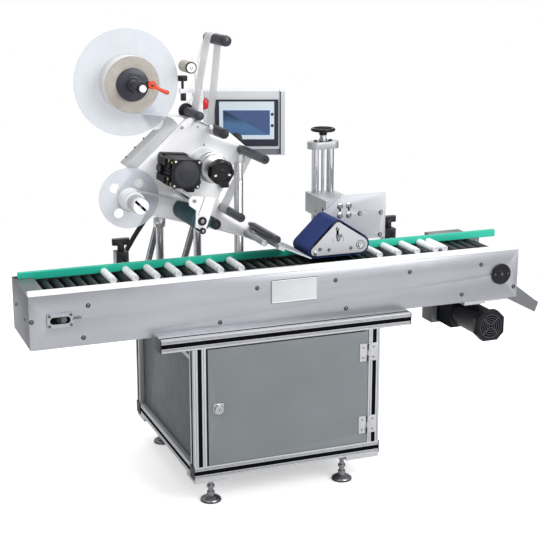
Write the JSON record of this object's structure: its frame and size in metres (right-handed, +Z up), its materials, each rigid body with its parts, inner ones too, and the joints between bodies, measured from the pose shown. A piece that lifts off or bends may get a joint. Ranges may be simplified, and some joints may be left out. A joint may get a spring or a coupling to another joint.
{
  "type": "tube labeling machine",
  "caption": "Profile cabinet with a roller conveyor, a label head with reels and idlers on posts, a belt press unit, a swivelling touch panel and a discharge chute.",
  "frame": {"origin": "on the floor, under the middle of the whole machine's box", "axes": "+X along the line towards the discharge chute, +Y away from the operator, +Z up"},
  "size_m": [1.703, 0.66, 1.4451],
  "materials": {
    "anodised_profile": "satin anodised extrusion with black slots",
    "belt_blue": "woven belt",
    "bezel_navy": "moulded",
    "black_plastic": "moulded nylon",
    "brushed_side": "brushed stainless sheet",
    "chain_steel": "dark steel",
    "channel_grey": "mill finish",
    "clear_disc": "clear acrylic",
    "door_grey": "powder coated sheet",
    "face_trim": "brushed",
    "grey_sheet": "satin",
    "guide_green": "smooth",
    "head_white": "fine satin",
    "hose_black": "ribbed hose",
    "idler_grey": "dark anodised",
    "knob_black": "moulded",
    "label_film": "glassine backing",
    "lever_orange": "moulded",
    "motor_black": "satin enamel",
    "panel_grey": "powder coated sheet",
    "panel_light": "fine texture powder coat",
    "plate_alu": "ground plate",
    "polished_steel": "polished",
    "post_steel": "ground shaft",
    "reel_white": "turned plastic",
    "roll_paper": "wound labels",
    "roller_black": "ground rubber",
    "steel_feet": "plated steel",
    "stop_red": "moulded",
    "teal_rubber": "ground rubber",
    "tube_white": "smooth tube",
    "white_rail": "smooth"
  },
  "bodies": {
    "frame": {"cabinet_posts": "anodised_profile", "cabinet_rails": "anodised_profile", "cabinet_panels": "panel_grey", "cabinet_feet": "steel_feet", "cabinet_fittings": "black_plastic", "conveyor_beams": "anodised_profile", "side_plate_front": "brushed_side", "side_plate_back": "brushed_side", "front_rail": "white_rail", "face_fittings": "face_trim", "drive_gearmotor": "motor_black", "discharge_chute": "grey_sheet", "guide_clamps": "black_plastic", "stand_posts": "post_steel", "head_plate": "head_white", "head_channel": "channel_grey", "reel_arms": "head_white", "nip_bracket": "head_white", "head_motor": "motor_black", "knob_hub": "idler_grey", "peel_plate": "plate_alu", "label_sensor": "knob_black", "head_knobs": "knob_black", "label_web": "label_film", "machine_hose": "hose_black", "press_frame": "post_steel"},
    "door": {"cabinet_door": "door_grey"},
    "lock": {"door_lock": "polished_steel"},
    "guide": {"side_guide": "guide_green"},
    "knob_left": {"clamp_knob_left": "knob_black"},
    "knob_right": {"clamp_knob_right": "knob_black"},
    "bed_top": {"bed_top_run": "roller_black", "sample_tubes": "tube_white"},
    "bed_return": {"bed_return_run": "roller_black"},
    "drive": {"drive_shaft": "chain_steel"},
    "idler": {"idler_shaft": "chain_steel"},
    "unwind": {"unwind_hub": "black_plastic", "unwind_disc": "clear_disc", "label_roll": "roll_paper"},
    "lever": {"hub_lever": "lever_orange"},
    "rewind": {"rewind_reel": "reel_white"},
    "idler_roller_1": {"guide_roller_1": "idler_grey"},
    "idler_roller_2": {"guide_roller_2": "idler_grey"},
    "idler_roller_3": {"guide_roller_3": "idler_grey"},
    "idler_roller_4": {"guide_roller_4": "idler_grey"},
    "idler_roller_5": {"guide_roller_5": "idler_grey"},
    "edge": {"edge_roller": "reel_white"},
    "traction": {"traction_roller": "teal_rubber"},
    "pinch": {"pinch_roller": "roller_black"},
    "tension_knob": {"star_knob": "knob_black"},
    "press": {"press_carriage": "plate_alu", "press_belt": "belt_blue", "belt_plates": "plate_alu"},
    "lift_screw": {"press_screw": "chain_steel"},
    "belt_drive": {"press_roller_drive": "idler_grey"},
    "belt_front": {"press_roller_front": "idler_grey"},
    "belt_top": {"press_roller_top": "idler_grey"},
    "panel": {"panel_box": "panel_light", "touch_panel": "bezel_navy"},
    "stop": {"stop_button": "stop_red"}
  },
  "joints": [
    {"name": "door_hinge", "type": "hinge", "parent": "frame", "child": "door", "pos_m": [0.203, -0.33, 0.325], "axis": [0, 0, 1], "range_deg": [0, 110]},
    {"name": "lock_turn", "type": "hinge", "parent": "door", "child": "lock", "pos_m": [-0.298, -0.325, 0.3172], "axis": [0, 1, 0], "range_deg": [0, 90]},
    {"name": "guide_adjust", "type": "slide", "parent": "frame", "child": "guide", "axis": [0, 1, 0], "range_m": [0, 0.012]},
    {"name": "clamp_left_turn", "type": "hinge", "parent": "frame", "child": "knob_left", "pos_m": [-0.502, 0.003, 0.79], "axis": [0, 0, 1], "range_deg": [-180, 180]},
    {"name": "clamp_right_turn", "type": "hinge", "parent": "frame", "child": "knob_right", "pos_m": [0.426, 0.003, 0.79], "axis": [0, 0, 1], "range_deg": [-180, 180]},
    {"name": "drive_spin", "type": "hinge", "parent": "frame", "child": "drive", "pos_m": [0.699, -0.155, 0.63697], "axis": [0, 1, 0], "range_deg": [0, 36]},
    {"name": "idler_spin", "type": "hinge", "parent": "frame", "child": "idler", "pos_m": [-0.76085, -0.155, 0.63697], "axis": [0, 1, 0], "range_deg": [0, 36]},
    {"name": "bed_top_feed", "type": "slide", "parent": "frame", "child": "bed_top", "axis": [1, 0, 0], "range_m": [0, 0.03395]},
    {"name": "bed_return_feed", "type": "slide", "parent": "frame", "child": "bed_return", "axis": [-1, 0, 0], "range_m": [0, 0.03395]},
    {"name": "unwind_spin", "type": "hinge", "parent": "frame", "child": "unwind", "pos_m": [-0.48601, -0.082, 1.28511], "axis": [0, 1, 0], "continuous": true},
    {"name": "lever_turn", "type": "hinge", "parent": "unwind", "child": "lever", "pos_m": [-0.45514, -0.227, 1.29297], "axis": [0, 1, 0], "range_deg": [-40, 40]},
    {"name": "rewind_spin", "type": "hinge", "parent": "frame", "child": "rewind", "pos_m": [-0.48798, -0.082, 0.93401], "axis": [0, 1, 0], "continuous": true},
    {"name": "roller_1_spin", "type": "hinge", "parent": "frame", "child": "idler_roller_1", "pos_m": [-0.225, -0.047, 1.41087], "axis": [0, 1, 0], "continuous": true},
    {"name": "roller_2_spin", "type": "hinge", "parent": "frame", "child": "idler_roller_2", "pos_m": [-0.30201, -0.047, 1.19197], "axis": [0, 1, 0], "continuous": true},
    {"name": "roller_3_spin", "type": "hinge", "parent": "frame", "child": "idler_roller_3", "pos_m": [-0.121, -0.047, 1.06201], "axis": [0, 1, 0], "continuous": true},
    {"name": "roller_4_spin", "type": "hinge", "parent": "frame", "child": "idler_roller_4", "pos_m": [-0.18498, -0.047, 0.88201], "axis": [0, 1, 0], "continuous": true},
    {"name": "roller_5_spin", "type": "hinge", "parent": "frame", "child": "idler_roller_5", "pos_m": [-0.08199, -0.047, 0.813], "axis": [0, 1, 0], "continuous": true},
    {"name": "edge_spin", "type": "hinge", "parent": "frame", "child": "edge", "pos_m": [-0.30398, -0.047, 1.32795], "axis": [0, 1, 0], "continuous": true},
    {"name": "traction_spin", "type": "hinge", "parent": "frame", "child": "traction", "pos_m": [-0.31599, -0.047, 0.88701], "axis": [0, 1, 0], "continuous": true},
    {"name": "pinch_spin", "type": "hinge", "parent": "frame", "child": "pinch", "pos_m": [-0.27013, -0.047, 0.87121], "axis": [0, 1, 0], "continuous": true},
    {"name": "tension_turn", "type": "hinge", "parent": "frame", "child": "tension_knob", "pos_m": [-0.24598, -0.182, 1.02601], "axis": [0, 1, 0], "range_deg": [-180, 180]},
    {"name": "press_lift", "type": "slide", "parent": "frame", "child": "press", "axis": [0, 0, 1], "range_m": [0, 0.12]},
    {"name": "lift_screw_turn", "type": "hinge", "parent": "frame", "child": "lift_screw", "pos_m": [0.229, 0.108, 0.9], "axis": [0, 0, 1], "range_deg": [0, 4320.1]},
    {"name": "belt_drive_spin", "type": "hinge", "parent": "press", "child": "belt_drive", "pos_m": [0.231, -0.122, 0.75666], "axis": [0, 1, 0], "continuous": true},
    {"name": "belt_front_spin", "type": "hinge", "parent": "press", "child": "belt_front", "pos_m": [0.075, -0.122, 0.74566], "axis": [0, 1, 0], "continuous": true},
    {"name": "belt_top_spin", "type": "hinge", "parent": "press", "child": "belt_top", "pos_m": [0.153, -0.122, 0.82036], "axis": [0, 1, 0], "continuous": true},
    {"name": "panel_swivel", "type": "hinge", "parent": "frame", "child": "panel", "pos_m": [-0.079, 0.089, 1.1], "axis": [0, 0, 1], "range_deg": [-35, 40]},
    {"name": "stop_press", "type": "slide", "parent": "panel", "child": "stop", "axis": [0.3584, 0.9336, 0], "range_m": [0, 0.004], "stiffness_N_per_m": 800}
  ],
  "couplings": [
    {"joint": "idler_spin", "follows": "drive_spin", "ratio": 1},
    {"joint": "bed_top_feed", "follows": "drive_spin", "m_per_rad": 0.054033},
    {"joint": "bed_return_feed", "follows": "drive_spin", "m_per_rad": 0.054033},
    {"joint": "pinch_spin", "follows": "traction_spin", "ratio": -1.9563},
    {"joint": "lift_screw_turn", "follows": "press_lift", "rad_per_m": 628.32}
  ]
}
